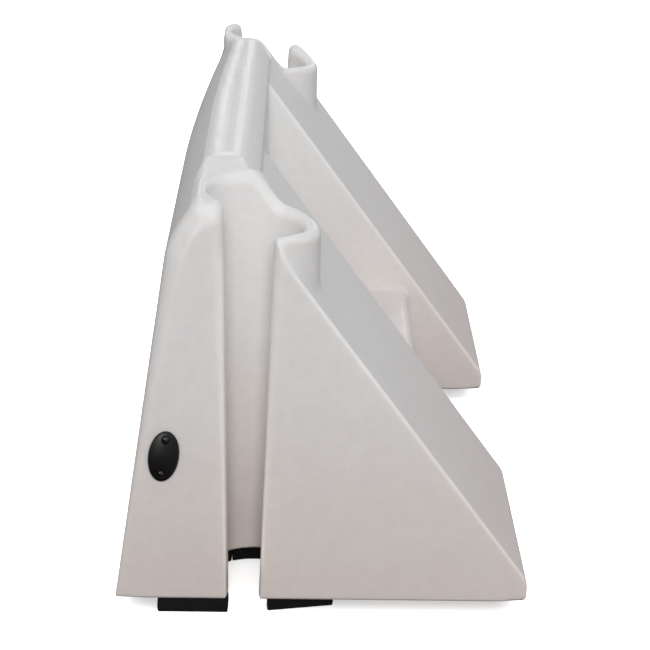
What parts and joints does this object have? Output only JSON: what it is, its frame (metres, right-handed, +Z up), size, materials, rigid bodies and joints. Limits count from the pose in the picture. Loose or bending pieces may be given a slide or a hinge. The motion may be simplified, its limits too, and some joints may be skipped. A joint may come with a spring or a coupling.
{
  "type": "water filled barrier",
  "caption": "Modular water filled barrier: hollow moulded body with a leaning front, two rear buttresses, keyhole joint ends, foam base seals, filler cap and drain plug.",
  "frame": {"origin": "middle of the unit's footprint box, on the ground, at the underside of the foam seals", "axes": "+X across the unit from the leaning front wall to the buttress toes, +Y along the unit from the end with the oval cover to the other end, +Z up"},
  "size_m": [0.5, 1.0045, 0.53],
  "materials": {
    "polyethylene": "satin milky polyethylene",
    "foam": "closed-cell foam, cut edges",
    "black_plastic": "satin black moulding",
    "rubber": "smooth EPDM",
    "steel": "stainless steel",
    "brass": "turned brass"
  },
  "bodies": {
    "unit": {"barrier_body": "polyethylene", "front_seal_strip": "foam", "rear_seal_strip": "foam", "near_joint_seal": "foam", "far_joint_seal": "foam", "oval_cover": "black_plastic", "cover_gasket": "rubber", "cover_screws": "steel", "cover_inserts": "brass", "filler_insert": "black_plastic", "drain_insert": "brass"},
    "filler_lift": {"filler_gasket": "rubber"},
    "filler_cap": {"filler_cap": "black_plastic"},
    "drain_lift": {"drain_seal": "rubber"},
    "drain_plug": {"drain_plug": "black_plastic"}
  },
  "joints": [
    {"name": "filler_rise", "type": "slide", "parent": "unit", "child": "filler_lift", "axis": [0, 0, 1], "range_m": [0, 0.012]},
    {"name": "filler_turn", "type": "hinge", "parent": "filler_lift", "child": "filler_cap", "pos_m": [0.0255, 0, 0.186], "axis": [0, 0, 1], "range_deg": [0, 720]},
    {"name": "drain_rise", "type": "slide", "parent": "unit", "child": "drain_lift", "axis": [1, 0, 0], "range_m": [0, 0.009]},
    {"name": "drain_turn", "type": "hinge", "parent": "drain_lift", "child": "drain_plug", "pos_m": [0.1355, 0, 0.054], "axis": [1, 0, 0], "range_deg": [0, 1080]}
  ],
  "couplings": [
    {"joint": "filler_rise", "follows": "filler_turn", "m_per_rad": 0.0009549},
    {"joint": "drain_rise", "follows": "drain_turn", "m_per_rad": 0.0004774}
  ]
}
